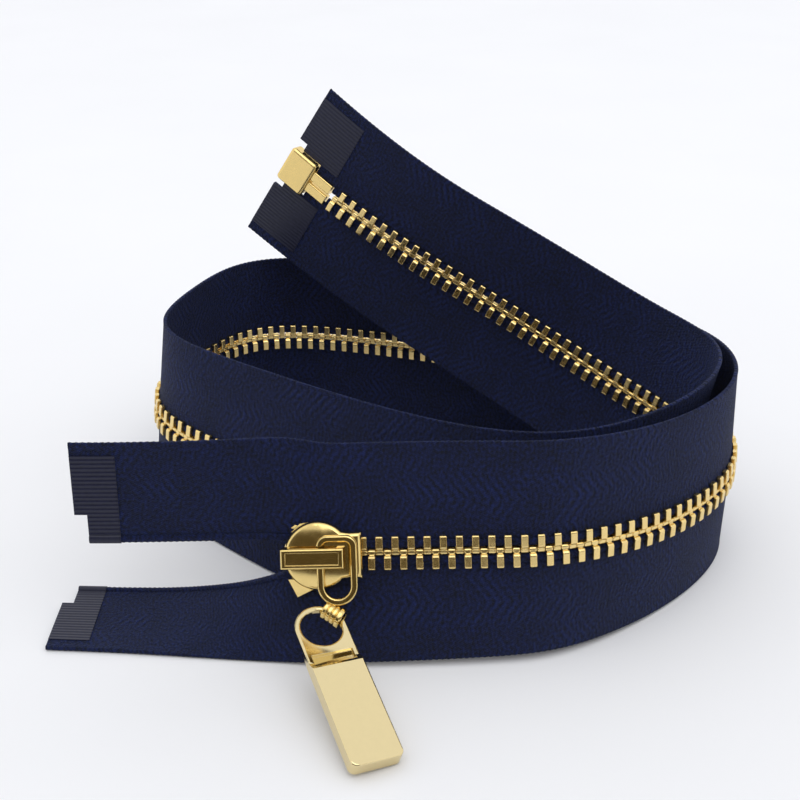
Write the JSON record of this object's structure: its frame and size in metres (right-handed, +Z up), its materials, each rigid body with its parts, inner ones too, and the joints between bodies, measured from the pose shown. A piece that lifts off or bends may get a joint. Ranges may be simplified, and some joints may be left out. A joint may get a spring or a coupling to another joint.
{
  "type": "zipper",
  "caption": "Open-end metal zipper, closed, its fabric tape loosely coiled on edge, with a locking slider, hinged pull loop and flat puller, retainer box and pins.",
  "frame": {"origin": "on the resting plane, below the middle of the coiled zipper's box", "axes": "+Z up, +X along the front of the coil from the slider towards the turn, +Y to the back"},
  "size_m": [0.1166, 0.1153, 0.0716],
  "materials": {
    "tape": "matte twill weave",
    "cord": "matte braid",
    "film": "ribbed satin",
    "tooth_metal": "polished pale gold",
    "end_metal": "satin pale gold",
    "slider_metal": "polished pale gold",
    "spring_metal": "satin",
    "puller_metal": "mirror polished pale gold"
  },
  "bodies": {
    "chain": {"left_tape": "tape", "right_tape": "tape", "left_cord": "cord", "right_cord": "cord", "left_teeth": "tooth_metal", "right_teeth": "tooth_metal", "left_top_stop": "tooth_metal", "right_top_stop": "tooth_metal", "left_top_film": "film", "right_top_film": "film", "left_bottom_film": "film", "right_bottom_film": "film", "insertion_pin": "end_metal", "retainer_pin": "end_metal", "retainer_box": "end_metal"},
    "slider": {"slider_body": "slider_metal", "slider_cap": "slider_metal"},
    "lock": {"lock_spring": "spring_metal"},
    "pull": {"pull_loop": "slider_metal", "ribbed_clip": "slider_metal"},
    "puller": {"puller": "puller_metal"}
  },
  "joints": [
    {"name": "slider_travel", "type": "slide", "parent": "chain", "child": "slider", "axis": [0.9969, -0.0512, 0.0593], "range_m": [0, 0.016], "deforming": ["left_teeth", "right_teeth", "left_cord", "right_cord", "left_top_stop", "right_top_stop"]},
    {"name": "lock_lift", "type": "hinge", "parent": "slider", "child": "lock", "pos_m": [-0.01866, -0.02943, 0.01783], "axis": [0.0319, -0.4254, -0.9044], "range_deg": [0, 3]},
    {"name": "pull_swing", "type": "hinge", "parent": "slider", "child": "pull", "pos_m": [-0.01416, -0.02885, 0.01772], "axis": [0.0319, -0.4254, -0.9044], "range_deg": [0, 75]},
    {"name": "puller_swing", "type": "hinge", "parent": "pull", "child": "puller", "pos_m": [-0.01209, -0.03272, 0.00977], "axis": [-0.8494, 0.4263, 0.3111], "range_deg": [0, 75]}
  ],
  "couplings": [
    {"joint": "lock_lift", "follows": "pull_swing", "ratio": 0.0399}
  ]
}
